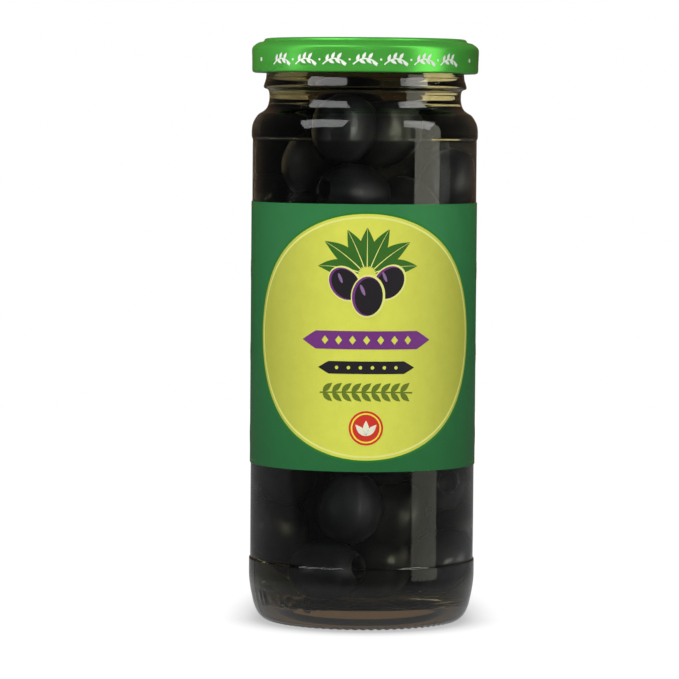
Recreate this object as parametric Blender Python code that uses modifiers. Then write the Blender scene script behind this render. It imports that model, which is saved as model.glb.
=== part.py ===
"""Glass jar of pitted black olives with a green twist-off lid and a wrap label. Metres, +Z up, front towards -Y."""

import math
import random

import bpy
import bmesh
from mathutils import Matrix, Vector

MM = 0.001

# Whole jar, in mm. The base rests on z = 0 and the jar's axis is the Z axis.
LID_RADIUS = 33.0
LID_TOP = 169.2
LID_FOOT = 159.2
BODY_RADIUS = 32.9
PANEL_RADIUS = 32.4
INSIDE_RADIUS = 30.0
PANEL_FOOT = 18.7
PANEL_HEAD = 139.3
SIDES = 48

# Wrap label, in mm.
LABEL_GAP = 0.25
LABEL_THICK = 0.2
LABEL_FOOT = 45.9
LABEL_HEAD = 121.95

# One olive, in mm: half its length, half its width, and the hole that the stone left.
OLIVE_HALF_LENGTH = 10.8
OLIVE_HALF_WIDTH = 8.7
PIT_RADIUS = 3.1
PIT_DEPTH = 7.0
GLASS_GAP = 0.35
HEAP_SEED = 24
HEAP_COUNT = 66
HEAP_TOP = 157.0
FRONT_CLEAR = 4.0
NECK_FOOT = 139.0
NECK_REACH = 18.0
SHOWS_BELOW = 48.0
SHOWS_ABOVE = 120.0

# The heap's core, (radius, height) in mm: slim where olives stand round it, wide behind the label.
CORE = [
    (0.0, 141.92),
    (15.0, 141.92),
    (15.0, 112.73),
    (27.0, 107.7),
    (27.0, 58.38),
    (15.0, 53.34),
    (15.0, 13.08),
    (0.0, 13.08),
]
CORE_SIDES = 16

# Glass, (radius, height) in mm: up the inside from its floor, over the rim, down the outside, in under the base.
GLASS_INSIDE = [
    (0.0, 7.45),
    (13.0, 7.05),
    (22.5, 6.14),
    (26.2, 6.34),
    (28.4, 7.65),
    (29.6, 9.86),
    (INSIDE_RADIUS, 13.08),
    (INSIDE_RADIUS, 138.39),
    (29.75, 141.51),
    (28.9, 144.23),
    (27.3, 146.14),
    (26.1, 147.75),
    (25.7, 149.97),
    (25.8, 157.01),
    (26.3, 163.56),
    (26.3, 167.58),
]
GLASS_RIM = [
    (26.8, 168.34),
    (27.7, 168.49),
    (28.6, 168.24),
    (29.0, 167.48),
    (28.7, 166.27),
    (28.6, 159.93),
]
GLASS_OUTSIDE = [
    (29.1, 158.83),
    (29.1, 156.31),
    (29.45, 155.4),
    (29.3, 154.8),
    (28.2, 154.4),
    (27.9, 153.59),
    (27.9, 151.18),
    (28.4, 149.36),
    (29.3, 148.26),
    (30.9, 147.25),
    (31.9, 145.94),
    (32.6, 144.43),
    (32.88, 142.82),
    (BODY_RADIUS, 141.41),
    (32.75, 140.41),
    (PANEL_RADIUS, PANEL_HEAD),
    (PANEL_RADIUS, PANEL_FOOT),
    (32.7, 17.31),
    (BODY_RADIUS, 15.9),
    (BODY_RADIUS, 12.68),
    (32.5, 9.26),
    (31.95, 6.44),
    (31.3, 3.93),
    (30.4, 2.01),
    (29.4, 0.81),
    (28.4, 0.15),
    (27.9, 0.0),
    (26.8, 0.0),
    (26.1, 0.4),
    (24.6, 1.41),
    (20.0, 2.62),
    (11.0, 3.32),
    (0.0, 3.52),
]

# Lid, (radius, height) in mm: out over the top, down the skirt, round the rolled edge, back under the panel.
LID_OUTSIDE = [
    (0.0, 168.04),
    (9.2, 168.09),
    (10.6, 168.44),
    (25.2, 168.49),
    (26.4, 168.94),
    (27.2, LID_TOP),
    (28.7, LID_TOP),
    (29.35, 168.84),
    (29.7, 168.29),
    (30.9, 168.04),
    (31.6, 167.48),
    (32.5, 166.98),
    (32.95, 166.27),
    (LID_RADIUS, 165.47),
    (LID_RADIUS, 160.13),
    (32.8, 159.48),
    (32.2, LID_FOOT),
]
LID_INSIDE = [
    (31.6, 159.43),
    (31.3, 160.03),
    (31.6, 160.74),
    (32.6, 161.24),
    (32.6, 165.37),
    (32.3, 166.37),
    (31.2, 166.98),
    (30.5, 167.58),
    (29.4, 167.88),
    (28.7, 168.74),
    (27.3, 168.84),
    (26.6, 168.54),
    (25.4, 168.04),
    (10.8, 167.98),
    (9.4, 167.58),
    (0.0, 167.53),
]

# Olives that show through the front, as (degrees round from the front towards the right, distance from the jar's
# axis, height, long axis across, outwards and up, whether the pit hole shows).
SEEN = [
    (-16, 20.6, 143.0, (0.10, -0.25, 1.00), False),
    (-8, 21.0, 125.0, (-0.74, 0.66, 0.12), True),
    (80, 21.0, 128.0, (0.12, 0.25, 1.00), False),
    (20, 11.5, 141.0, (0.75, 0.20, 0.55), False),
    (40, 17.0, 119.0, (0.30, 0.35, -0.85), False),
    (-60, 13.0, 133.0, (0.35, 0.10, 0.95), False),
    (-8, 21.0, 34.8, (0.16, 0.05, 1.00), False),
    (-80, 21.0, 26.5, (0.10, 0.05, 1.00), False),
    (-66, 20.6, 44.6, (0.30, 0.20, 0.90), False),
    (-26, 21.0, 16.8, (0.95, 0.10, 0.15), False),
    (34, 13.5, 31.5, (0.20, 0.10, 0.95), False),
    (72, 20.8, 41.0, (-0.74, 0.67, 0.10), True),
    (72, 20.4, 18.4, (0.80, 0.30, 0.45), False),
    (20, 11.5, 17.0, (0.35, 0.30, 0.60), False),
    (108, 20.5, 24.0, (0.10, 0.30, 0.95), False),
]


def clear_scene():
    for obj in list(bpy.data.objects):
        bpy.data.objects.remove(obj, do_unlink=True)


def new_collection(name):
    collection = bpy.data.collections.new(name)
    bpy.context.scene.collection.children.link(collection)
    return collection


def new_material(name, colour, roughness, metallic=0.0):
    material = bpy.data.materials.new(name)
    material.use_nodes = True
    shader = material.node_tree.nodes["Principled BSDF"]
    shader.inputs["Base Color"].default_value = (*colour, 1.0)
    shader.inputs["Roughness"].default_value = roughness
    shader.inputs["Metallic"].default_value = metallic
    material.diffuse_color = (*colour, 1.0)
    material.roughness = roughness
    material.metallic = metallic
    return material


def new_object(name, mesh, collection, material):
    obj = bpy.data.objects.new(name, mesh)
    mesh.materials.append(material)
    collection.objects.link(obj)
    return obj


def profile_mesh(name, points):
    mesh = bpy.data.meshes.new(name)
    corners = [(r * MM, 0.0, z * MM) for r, z in points]
    edges = [(i, i + 1) for i in range(len(corners) - 1)]
    mesh.from_pydata(corners, edges, [])
    return mesh


def turn(obj, sides=SIDES):
    screw = obj.modifiers.new("turned", "SCREW")
    screw.axis = "Z"
    screw.steps = sides
    screw.render_steps = sides
    screw.use_merge_vertices = True
    screw.merge_threshold = 0.00005
    screw.use_smooth_shade = False
    return screw


def inside_limit(height):
    """How far from the axis, in mm, the heap may reach at this height."""
    points = GLASS_INSIDE[3:]
    for (r0, z0), (r1, z1) in zip(points, points[1:]):
        if z0 <= height <= z1:
            return r0 + (r1 - r0) * (height - z0) / (z1 - z0) - GLASS_GAP
    return 22.0


def unit(x, y, z):
    size = math.sqrt(x * x + y * y + z * z)
    return (x / size, y / size, z / size)


def rounded_turn(degrees):
    angle = math.radians(degrees)
    return round(math.cos(angle), 9), round(math.sin(angle), 9)


def reach(axis, along):
    """How far an olive with this long axis reaches along a direction, in mm."""
    lean = axis[0] * along[0] + axis[1] * along[1] + axis[2] * along[2]
    spread = OLIVE_HALF_LENGTH * OLIVE_HALF_LENGTH - OLIVE_HALF_WIDTH * OLIVE_HALF_WIDTH
    return math.sqrt(OLIVE_HALF_WIDTH * OLIVE_HALF_WIDTH + spread * lean * lean)


def settled_olives():
    """The heap as [x, y, z, axis, fixed, pit shows] in mm: seen olives first, the others pushed apart round them."""
    dice = random.Random(HEAP_SEED)
    olives = []
    for degrees, out, height, (across, outwards, up), pit in SEEN:
        c, s = rounded_turn(degrees)
        axis = unit(across * c + outwards * s, across * s - outwards * c, up)
        olives.append([out * s, -out * c, height, axis, True, pit])
    while len(olives) < HEAP_COUNT:
        x = round(dice.uniform(-21.0, 21.0), 3)
        y = round(dice.uniform(-21.0, 21.0), 3)
        z = round(dice.uniform(16.0, 140.0), 3)
        axis = [round(dice.uniform(-1.0, 1.0), 3) for _ in range(3)]
        size = axis[0] * axis[0] + axis[1] * axis[1] + axis[2] * axis[2]
        if x * x + y * y > 441.0 or size < 0.05 or size > 1.0:
            continue
        olives.append([x, y, z, unit(*axis), False, False])
    for _ in range(240):
        push_apart(olives)
        for olive in olives:
            keep_inside(olive)
    return olives


def push_apart(olives):
    for i, one in enumerate(olives):
        for other in olives[i + 1:]:
            dx = other[0] - one[0]
            dy = other[1] - one[1]
            dz = other[2] - one[2]
            gap = math.sqrt(dx * dx + dy * dy + dz * dz)
            if gap > 2.0 * OLIVE_HALF_LENGTH or gap < 0.001:
                continue
            along = (dx / gap, dy / gap, dz / gap)
            short = 0.97 * (reach(one[3], along) + reach(other[3], along)) - gap
            if short <= 0.0 or (one[4] and other[4]):
                continue
            share = 0.0 if one[4] else (1.0 if other[4] else 0.5)
            for k in range(3):
                one[k] -= 0.6 * share * short * along[k]
                other[k] += 0.6 * (1.0 - share) * short * along[k]


def keep_inside(olive):
    """Moves an olive inside the glass; those that aren't seen ones stay a little further in where the front shows."""
    out = math.sqrt(olive[0] * olive[0] + olive[1] * olive[1])
    if out > 0.5:
        away = (olive[0] / out, olive[1] / out, 0.0)
        most = inside_limit(olive[2]) - reach(olive[3], away)
        if olive[1] < 4.0 and not olive[4] and not 50.0 < olive[2] < 116.0:
            most -= FRONT_CLEAR
        if olive[2] > NECK_FOOT and not olive[4]:
            most = min(most, NECK_REACH - reach(olive[3], away))
        if out > most:
            olive[0] *= most / out
            olive[1] *= most / out
    height = reach(olive[3], (0.0, 0.0, 1.0))
    olive[2] = min(max(olive[2], 7.8 + height), HEAP_TOP - height)


def hidden(olive):
    """Whether an olive lies behind the label or inside the heap, where the core takes its place."""
    out = math.sqrt(olive[0] * olive[0] + olive[1] * olive[1])
    tall = reach(olive[3], (0.0, 0.0, 1.0))
    behind_label = olive[2] - tall > SHOWS_BELOW and olive[2] + tall < SHOWS_ABOVE
    return behind_label or (out < 11.0 and 24.0 < olive[2] < 130.0)


def olive_turn(axis):
    return Vector((0.0, 0.0, 1.0)).rotation_difference(Vector(axis)).to_matrix()


def worst_reach(spots):
    """(how far past the limit, direction from the axis) for the spot that is furthest past the inside."""
    worst = (-1000.0, 1.0, 0.0)
    for spot in spots:
        out = math.sqrt(spot.x * spot.x + spot.y * spot.y)
        over = out - inside_limit(spot.z)
        if over > worst[0] and out > 0.001:
            worst = (over, spot.x / out, spot.y / out)
    return worst


def olive_mesh(name, olive):
    """One olive as a coarse ball, drawn out along its axis and set just inside the glass."""
    shape = bmesh.new()
    bmesh.ops.create_icosphere(shape, subdivisions=2, radius=1.0)
    size = Matrix.Diagonal((OLIVE_HALF_WIDTH, OLIVE_HALF_WIDTH, OLIVE_HALF_LENGTH))
    turned = olive_turn(olive[3]) @ size
    corners = [turned @ corner.co for corner in shape.verts]
    middles = [turned @ (edge.verts[0].co + edge.verts[1].co) / 2 for edge in shape.edges]
    centre = Vector(olive[:3])
    for _ in range(20):
        over, x, y = worst_reach([spot + centre for spot in corners + middles])
        if over > 0.0:
            centre -= Vector((x, y, 0.0)) * over
    for corner, place in zip(shape.verts, corners):
        corner.co = (place + centre) * MM
    mesh = bpy.data.meshes.new(name)
    shape.to_mesh(mesh)
    shape.free()
    return mesh, centre


def pit_mesh(name, olive, centre):
    """The cutter for the hole at one end of an olive."""
    axis = Vector(olive[3])
    shape = bmesh.new()
    length = PIT_DEPTH + 1.5
    bmesh.ops.create_cone(
        shape,
        cap_ends=True,
        segments=10,
        radius1=PIT_RADIUS,
        radius2=PIT_RADIUS,
        depth=length,
    )
    middle = centre + axis * (OLIVE_HALF_LENGTH - PIT_DEPTH + length / 2)
    turned = olive_turn(olive[3]).to_4x4()
    bmesh.ops.transform(shape, matrix=Matrix.Translation(middle) @ turned, verts=shape.verts)
    bmesh.ops.scale(shape, vec=(MM, MM, MM), verts=shape.verts)
    mesh = bpy.data.meshes.new(name)
    shape.to_mesh(mesh)
    shape.free()
    return mesh


def boolean(obj, operation, collection):
    modifier = obj.modifiers.new(operation.lower(), "BOOLEAN")
    modifier.operation = operation
    modifier.operand_type = "COLLECTION"
    modifier.collection = collection
    modifier.solver = "MANIFOLD"


def apply_modifiers(obj):
    graph = bpy.context.evaluated_depsgraph_get()
    mesh = bpy.data.meshes.new_from_object(obj.evaluated_get(graph))
    old = obj.data
    obj.modifiers.clear()
    obj.data = mesh
    mesh.name = obj.name
    bpy.data.meshes.remove(old)


def remove_all(collection):
    for obj in list(collection.objects):
        bpy.data.objects.remove(obj, do_unlink=True)
    bpy.data.collections.remove(collection)


def keep_largest_shell(mesh):
    """Fills the hollows that fusing sealed and drops loose scraps."""
    shape = bmesh.new()
    shape.from_mesh(mesh)
    bmesh.ops.triangulate(shape, faces=shape.faces)
    shape.verts.ensure_lookup_table()
    seen = set()
    shells = []
    for start in shape.verts:
        if start.index in seen:
            continue
        seen.add(start.index)
        shell = [start]
        for corner in shell:
            for edge in corner.link_edges:
                other = edge.other_vert(corner)
                if other.index not in seen:
                    seen.add(other.index)
                    shell.append(other)
        shells.append(shell)
    shells.sort(key=len)
    spare = [corner for shell in shells[:-1] for corner in shell]
    bmesh.ops.delete(shape, geom=spare, context="VERTS")
    shape.to_mesh(mesh)
    shape.free()


def build_glass(collection):
    material = new_material("clear glass", (0.84, 0.87, 0.82), 0.05)
    mesh = profile_mesh("glass_jar", GLASS_INSIDE + GLASS_RIM + GLASS_OUTSIDE)
    turn(new_object("glass_jar", mesh, collection, material))


def build_lid(collection):
    material = new_material("green lacquered metal", (0.04, 0.31, 0.03), 0.25)
    mesh = profile_mesh("lid", LID_OUTSIDE + LID_INSIDE)
    turn(new_object("lid", mesh, collection, material))


def build_label(collection):
    material = new_material("printed wrap label", (0.03, 0.20, 0.07), 0.35)
    inside = PANEL_RADIUS + LABEL_GAP
    mesh = profile_mesh("label", [(inside, LABEL_HEAD), (inside, LABEL_FOOT)])
    label = new_object("label", mesh, collection, material)
    turn(label)
    wall = label.modifiers.new("thickness", "SOLIDIFY")
    wall.thickness = LABEL_THICK * MM
    wall.offset = 1.0
    wall.use_even_offset = True


def build_olives(collection):
    material = new_material("black olives", (0.012, 0.012, 0.014), 0.3)
    pieces = new_collection("heap pieces")
    pits = new_collection("pit cutters")
    heap = new_object("olives", profile_mesh("olives", CORE), collection, material)
    turn(heap, CORE_SIDES)
    for number, olive in enumerate(settled_olives()):
        if hidden(olive):
            continue
        mesh, centre = olive_mesh(f"olive {number}", olive)
        new_object(f"olive {number}", mesh, pieces, material)
        if olive[5]:
            new_object(f"pit {number}", pit_mesh(f"pit {number}", olive, centre), pits, material)
    for helper in list(pieces.objects) + list(pits.objects):
        helper.hide_render = True
        helper.display_type = "WIRE"
    boolean(heap, "UNION", pieces)
    boolean(heap, "DIFFERENCE", pits)
    apply_modifiers(heap)
    remove_all(pieces)
    remove_all(pits)
    keep_largest_shell(heap.data)


def main():
    clear_scene()
    jar = new_collection("jar of olives")
    build_glass(jar)
    build_lid(jar)
    build_label(jar)
    build_olives(jar)


main()
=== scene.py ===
import math
import random

import bpy
import bmesh
from mathutils import Matrix, Vector, noise


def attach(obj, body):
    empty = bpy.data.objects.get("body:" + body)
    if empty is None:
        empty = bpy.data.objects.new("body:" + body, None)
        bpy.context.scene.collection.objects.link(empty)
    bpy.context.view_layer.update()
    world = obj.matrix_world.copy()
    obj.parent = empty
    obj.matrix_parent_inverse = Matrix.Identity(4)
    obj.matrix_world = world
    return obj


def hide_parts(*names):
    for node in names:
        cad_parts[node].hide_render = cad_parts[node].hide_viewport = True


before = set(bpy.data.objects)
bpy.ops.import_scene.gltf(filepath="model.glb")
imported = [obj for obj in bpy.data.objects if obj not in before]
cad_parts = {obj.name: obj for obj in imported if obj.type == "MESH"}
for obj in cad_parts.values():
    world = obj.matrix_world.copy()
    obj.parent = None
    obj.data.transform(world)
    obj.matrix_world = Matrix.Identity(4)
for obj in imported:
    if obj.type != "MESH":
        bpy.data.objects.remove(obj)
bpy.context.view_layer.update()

MM = 0.001
TURN = 2.0 * math.pi

# Sides of the turned shapes, of one olive and of the floor.
GLASS_SIDES = 304
BRINE_SIDES = 128
LID_SIDES = 240
LABEL_SIDES = 256
CORE_SIDES = 48
OLIVE_SIDES = 28
FLOOR_SIDES = 96

# The jar, in mm. The panel reaches almost to its label, to which the CAD leaves a wider gap.
PANEL_RADIUS = 32.6
INSIDE_RADIUS = 30.0
LABEL_INNER = 32.64
LABEL_OUTER = 32.85
LABEL_FOOT = 45.9
LABEL_HEAD = 121.95
BRINE_LEVEL = 160.8
INTO_WALL = 0.14

# The glass, (radius, height) in mm: up the inside from its floor.
GLASS_INSIDE = [
    (0.0, 7.45), (7.0, 7.3), (13.0, 7.05), (18.0, 6.6), (22.5, 6.14), (24.6, 6.1), (26.2, 6.34),
    (27.4, 6.9), (28.4, 7.65), (29.1, 8.7), (29.6, 9.86), (29.9, 11.4), (INSIDE_RADIUS, 13.08),
    (INSIDE_RADIUS, 138.39), (29.95, 140.1), (29.75, 141.51), (28.9, 144.23), (27.3, 146.14),
    (26.1, 147.75), (25.7, 149.97), (25.7, 153.0), (25.8, 157.01), (26.3, 163.56), (26.3, 167.58),
]
# Over the rim.
GLASS_RIM = [
    (26.8, 168.34), (27.7, 168.49), (28.6, 168.24), (29.0, 167.48), (28.7, 166.27), (28.6, 159.93),
]
# Down the outside over the bead, neck, shoulder, panel and heel, and in under the base.
GLASS_OUTSIDE = [
    (28.75, 158.83), (28.8, 158.0), (28.95, 157.2), (29.2, 156.4), (29.42, 155.7), (29.5, 155.25),
    (29.3, 154.8), (28.3, 154.35), (27.95, 153.59), (27.85, 152.3), (27.9, 151.18), (28.4, 149.36),
    (29.3, 148.26), (30.9, 147.25), (31.9, 145.94), (32.6, 144.43), (32.88, 142.82), (32.9, 141.5),
    (32.86, 140.6), (PANEL_RADIUS, 139.9), (PANEL_RADIUS, 138.9), (PANEL_RADIUS, 19.0), (32.62, 18.25),
    (32.88, 17.95), (32.93, 17.6), (32.93, 16.8), (32.9, 12.68), (32.5, 9.26), (31.95, 6.44), (31.3, 3.93),
    (30.4, 2.01), (29.4, 0.81), (28.4, 0.15), (27.9, 0.0), (26.8, 0.0), (26.1, 0.4), (24.6, 1.41),
    (20.0, 2.62), (11.0, 3.32), (0.0, 3.52),
]
# The lid: out over the top, down the skirt to the rolled foot.
LID_OUTSIDE = [
    (0.0, 168.04), (8.2, 168.06), (9.2, 168.12), (9.9, 168.36), (10.8, 168.46), (20.0, 168.49),
    (24.9, 168.52), (25.8, 168.62), (26.6, 169.05), (27.4, 169.2), (28.5, 169.2), (29.2, 168.95),
    (29.6, 168.35), (30.1, 168.16), (30.9, 168.0), (31.7, 167.55), (32.4, 167.0), (32.85, 166.4),
    (33.0, 165.5), (33.0, 164.0), (33.0, 161.6), (33.0, 160.13), (32.85, 159.5), (32.2, 159.2),
]
# Round the foot, up inside the skirt and in under the top.
LID_INSIDE = [
    (31.6, 159.43), (31.3, 160.03), (31.6, 160.74), (32.5, 161.3), (32.6, 162.4), (32.6, 165.3),
    (32.3, 166.37), (31.2, 166.98), (30.5, 167.58), (29.4, 167.88), (28.7, 168.74), (27.3, 168.84),
    (26.6, 168.54), (25.4, 168.04), (10.8, 167.98), (9.4, 167.58), (0.0, 167.53),
]
# The lid's lugs, and how far the skirt is drawn in round them on average, in mm.
LUG_COUNT = 4
SKIRT_RIPPLE = 0.11

# Slanting ribs on the ring that the jar stands on. Over RIB_SLANT mm outwards, a rib moves on by one rib.
RIB_COUNT = 76
RIB_DEPTH = 0.34
RIB_SLANT = 3.2
RIB_FROM = 26.3
RIB_TO = 29.6
RIB_TOP = 0.9
# Raised marks on the heel as (degrees round from the front, height, half width, half height), in mm.
HEEL_MARKS = [
    (-64, 7.6, 0.9, 2.0), (-60, 7.6, 0.9, 2.0), (-52, 7.4, 2.1, 0.9), (-46, 7.4, 1.0, 1.9),
    (-39, 7.4, 1.7, 1.7), (-29, 7.3, 0.9, 1.9), (-25, 7.3, 1.0, 1.0), (-20, 7.3, 2.0, 0.9),
    (116, 7.6, 1.6, 1.6), (128, 7.6, 0.9, 1.9), (134, 7.6, 0.9, 1.9), (-150, 7.6, 1.8, 0.9),
    (-158, 7.6, 1.0, 1.9),
]
MARK_RISE = 0.3
MARK_HEIGHTS = (2.0, 12.0)
# The mould's two opposite seams: degrees round from the front, rise and half width in mm, and the heights
# at which they show, below the label and above it.
SEAM_DEGREES = -71.0
SEAM_RISE = 0.1
SEAM_HALF_WIDTH = 0.35
SEAM_HEIGHTS = [(1.0, 18.5), (139.5, 154.0)]

# The heap, as in the CAD, in mm.
OLIVE_HALF_LENGTH = 10.8
OLIVE_HALF_WIDTH = 8.7
GLASS_GAP = 0.35
HEAP_SEED = 24
HEAP_COUNT = 66
HEAP_FLOOR = 7.8
HEAP_TOP = 157.0
# Where the loose olives start: distance from the axis across and in depth, and range of heights.
HEAP_SPREAD = 21.0
FIRST_HEIGHTS = (16.0, 140.0)
# How close two olives may lie, as a share of touching, and the share of an overlap that one round removes.
SETTLING_ROUNDS = 240
CLOSENESS = 0.97
PUSH = 0.6
# In front of this depth, loose olives keep clear of the glass, save at heights that the label hides.
FRONT_DEPTH = 4.0
FRONT_CLEAR = 4.0
BEHIND_LABEL = (50.0, 116.0)
# From its foot up, the neck has loose olives only within this distance of its axis.
NECK_FOOT = 139.0
NECK_REACH = 18.0
# The inside of the glass as (radius, height), and the radius for heights past its ends.
OUTSIDE_LIMIT = 22.0
LIMIT_PROFILE = [
    (22.5, 6.14), (26.2, 6.34), (28.4, 7.65), (29.6, 9.86), (30.0, 13.08), (30.0, 138.39), (29.75, 141.51),
    (28.9, 144.23), (27.3, 146.14), (26.1, 147.75), (25.7, 149.97), (25.8, 157.01), (26.3, 163.56),
    (26.3, 167.58),
]
# Olives that show in front, as (degrees round from the front towards the right, distance from the jar's
# axis, height, (long axis across, outwards and up)).
SEEN = [
    (-16, 20.6, 143.0, (0.10, -0.25, 1.00)),
    (-8, 21.0, 125.0, (-0.74, 0.66, 0.12)),
    (80, 21.0, 128.0, (0.12, 0.25, 1.00)),
    (20, 11.5, 141.0, (0.75, 0.20, 0.55)),
    (40, 17.0, 119.0, (0.30, 0.35, -0.85)),
    (-60, 13.0, 133.0, (0.35, 0.10, 0.95)),
    (-8, 21.0, 34.8, (0.16, 0.05, 1.00)),
    (-80, 21.0, 26.5, (0.10, 0.05, 1.00)),
    (-66, 20.6, 44.6, (0.30, 0.20, 0.90)),
    (-26, 21.0, 16.8, (0.95, 0.10, 0.15)),
    (34, 13.5, 31.5, (0.20, 0.10, 0.95)),
    (72, 20.8, 41.0, (-0.74, 0.67, 0.10)),
    (72, 20.4, 18.4, (0.80, 0.30, 0.45)),
    (20, 11.5, 17.0, (0.35, 0.30, 0.60)),
    (108, 20.5, 24.0, (0.10, 0.30, 0.95)),
]

# How uneven the olives are: shares of the usual length and width, the pit hole's radius, bend and taper.
SHAPE_SEED = 7
LENGTHS = (0.93, 1.03)
WIDTHS = (0.95, 1.04)
PIT_RADII = (2.8, 3.3)
BENDS = (-0.5, 0.5)
TAPERS = (-0.06, 0.06)
# The pit hole as (share of its radius, mm in from the olive's end), from its floor up over its lip.
PIT_WALL = [
    (0.0, 6.5), (0.55, 6.4), (0.84, 5.6), (0.88, 3.2), (0.9, 1.5), (0.94, 0.6), (1.04, 0.08), (1.2, 0.1),
]
# The skin's own curve starts at this share of the hole's radius, and has this many rings.
SKIN_FROM = 1.35
SKIN_RINGS = 18
# The core that closes the view between the olives: it stands for the olives in the heap's middle, near black
# as their painted shade, (radius, height) in mm.
CORE_PROFILE = [
    (0.0, 142.0), (9.0, 141.0), (12.5, 138.0), (13.0, 130.0), (13.0, 24.0), (12.0, 16.0), (8.0, 13.5),
    (0.0, 13.2),
]

# The print: thickness of one layer of ink, and the front design's centre, all in mm.
INK_STEP = 0.025
DESIGN_U = 1.0
DESIGN_V = 84.2
BACK_U = math.pi * LABEL_OUTER
# Leaves of the fan as (degrees, length), and olives of the bunch as (layer, u, v, lean, size).
FAN_HEIGHT = 102.4
FAN_LEAVES = [(8, 13.0), (172, 12.5), (36, 13.5), (143, 13.5), (64, 12.5), (114, 12.0), (90, 11.5)]
BUNCH = [(6, -5.2, 99.4, 0.75, 1.0), (6, 7.4, 99.8, -0.7, 1.0), (9, 1.3, 95.9, -0.08, 1.1)]
PURPLE_BAND_V = 83.4
DARK_BAND_V = 75.6
LEAF_ROW_V = 68.6
ROUNDEL_V = 58.4
# Each ink's material and colour.
INKS = {
    "lime": ("lime print", "dade5a"),
    "pale_lime": ("pale lime print", "e6ea86"),
    "deep_green": ("deep green print", "2f7a35"),
    "leaf": ("leaf green print", "3d6d2c"),
    "olive_green": ("olive green print", "6a7d2f"),
    "plum_light": ("light plum print", "8f6f9a"),
    "purple": ("purple print", "753a80"),
    "ink": ("black print", "2a272b"),
    "red": ("red print", "d23c31"),
    "yellow": ("pale yellow print", "f2e650"),
    "cream": ("cream print", "ecebd2"),
}
# The lime's painted shade: the share of its brightness that is left at the jar's sides.
LIME_PAINTED_SHADE_AT_SIDES = 0.74
# The garland round the lid, in mm: its radius, its height, and its leaves as (place on the stalk, lean).
GARLAND_RADIUS = 33.06
GARLAND_HEIGHT = 162.9
GARLAND_LEAVES = [(-2.4, 1.25), (-0.8, 1.1), (0.9, 0.95), (-1.8, -0.5), (0.2, -0.75), (2.0, -0.9)]

# Colours, as a shader takes them.
OLIVE_BLACK = (0.025, 0.026, 0.034)
CORE_PAINTED_SHADE = (0.004, 0.0035, 0.003)
LACQUER_GREEN = (0.125, 0.66, 0.09)
BRINE_COLOUR = (0.60, 0.565, 0.38)
BRINE_DENSITY = 80.0

# The floor, in m: its size, the share of a distance that counts behind the jar, and where its ramps end.
FLOOR_RADIUS = 0.8
FLOOR_DROP = 0.0002
BEHIND_SHARE = 0.35
RAMP_REACH = 0.3
# Brightness of the floor by distance: where it is seen, with a painted shadow darker round the jar, and
# where the glass mirrors it.
FLOOR_SEEN_PAINTED_SHADOW = [(0.099, 0.50), (0.113, 0.74), (0.124, 0.87), (0.134, 0.95), (0.147, 0.985), (0.165, 1.0)]
FLOOR_MIRRORED = [(0.2, 0.22), (0.4, 0.0)]

# The studio round the jar.
GREY_ROUND = (0.045, 0.045, 0.045)
WARM_BEHIND = (0.10, 0.064, 0.038)
WHITE = (1.0, 1.0, 1.0)
STRIP_COLOUR = (1.0, 1.0, 0.83)
CARD_COLOUR = (1.0, 0.89, 0.72)
ACROSS = (1.0, 0.0, 0.0)
DEEP = (0.0, 1.0, 0.0)
AIM_HEIGHT = 0.09

# The camera, in m and degrees; the focal length is in pixels of a picture of the given width.
CAMERA_PLACE = (0.0, -1.1222, 0.1471)
LOOKS_DOWN = 3.337
LOOKS_LEFT = 0.352
ROLL = 0.45
FOCAL_PIXELS = 3850
PICTURE_WIDTH = 679
SENSOR_WIDTH = 36.0


# Shader nodes. The owner is a material, a lamp or the world.

def add(owner, kind, **settings):
    node = owner.node_tree.nodes.new(kind)
    for key, value in settings.items():
        setattr(node, key, value)
    return node


def link(owner, out, into):
    owner.node_tree.links.new(out, into)


def maths(owner, operation, *values):
    """A maths node on sockets and plain numbers."""
    node = add(owner, "ShaderNodeMath", operation=operation)
    for socket, value in zip(node.inputs, values):
        if isinstance(value, float):
            socket.default_value = value
        else:
            link(owner, value, socket)
    return node.outputs["Value"]


def remap(owner, value, start, stop, low, high, kind="LINEAR"):
    """The value moved from the range start to stop into the range low to high."""
    node = add(owner, "ShaderNodeMapRange", interpolation_type=kind)
    for socket, number in (("From Min", start), ("From Max", stop), ("To Min", low), ("To Max", high)):
        node.inputs[socket].default_value = number
    link(owner, value, node.inputs["Value"])
    return node.outputs["Result"]


def ramp(owner, fac, stops):
    node = add(owner, "ShaderNodeValToRGB")
    points = node.color_ramp.elements
    while len(points) < len(stops):
        points.new(0.5)
    for point, (at, colour) in zip(points, stops):
        point.position = at
        point.color = (*colour, 1.0)
    link(owner, fac, node.inputs["Fac"])
    return node.outputs["Color"]


def split_of(owner, vector):
    node = add(owner, "ShaderNodeSeparateXYZ")
    link(owner, vector, node.inputs["Vector"])
    return node.outputs


def object_space(material, scale=(1.0, 1.0, 1.0)):
    place = add(material, "ShaderNodeTexCoord")
    mapping = add(material, "ShaderNodeMapping")
    mapping.inputs["Scale"].default_value = scale
    link(material, place.outputs["Object"], mapping.inputs["Vector"])
    return mapping.outputs["Vector"]


def noise_of(material, vector, scale, detail=3.0, roughness=0.5):
    node = add(material, "ShaderNodeTexNoise")
    node.inputs["Scale"].default_value = scale
    node.inputs["Detail"].default_value = detail
    node.inputs["Roughness"].default_value = roughness
    link(material, vector, node.inputs["Vector"])
    return node.outputs["Fac"]


def spread(material, fac, low, high):
    """Noise, which mostly lies between 0.3 and 0.7, spread over the range low to high."""
    return remap(material, fac, 0.3, 0.7, low, high)


def bump(material, shader, height, strength, distance):
    node = add(material, "ShaderNodeBump")
    node.inputs["Strength"].default_value = strength
    node.inputs["Distance"].default_value = distance
    link(material, height, node.inputs["Height"])
    link(material, node.outputs["Normal"], shader.inputs["Normal"])


# Materials.

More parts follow.
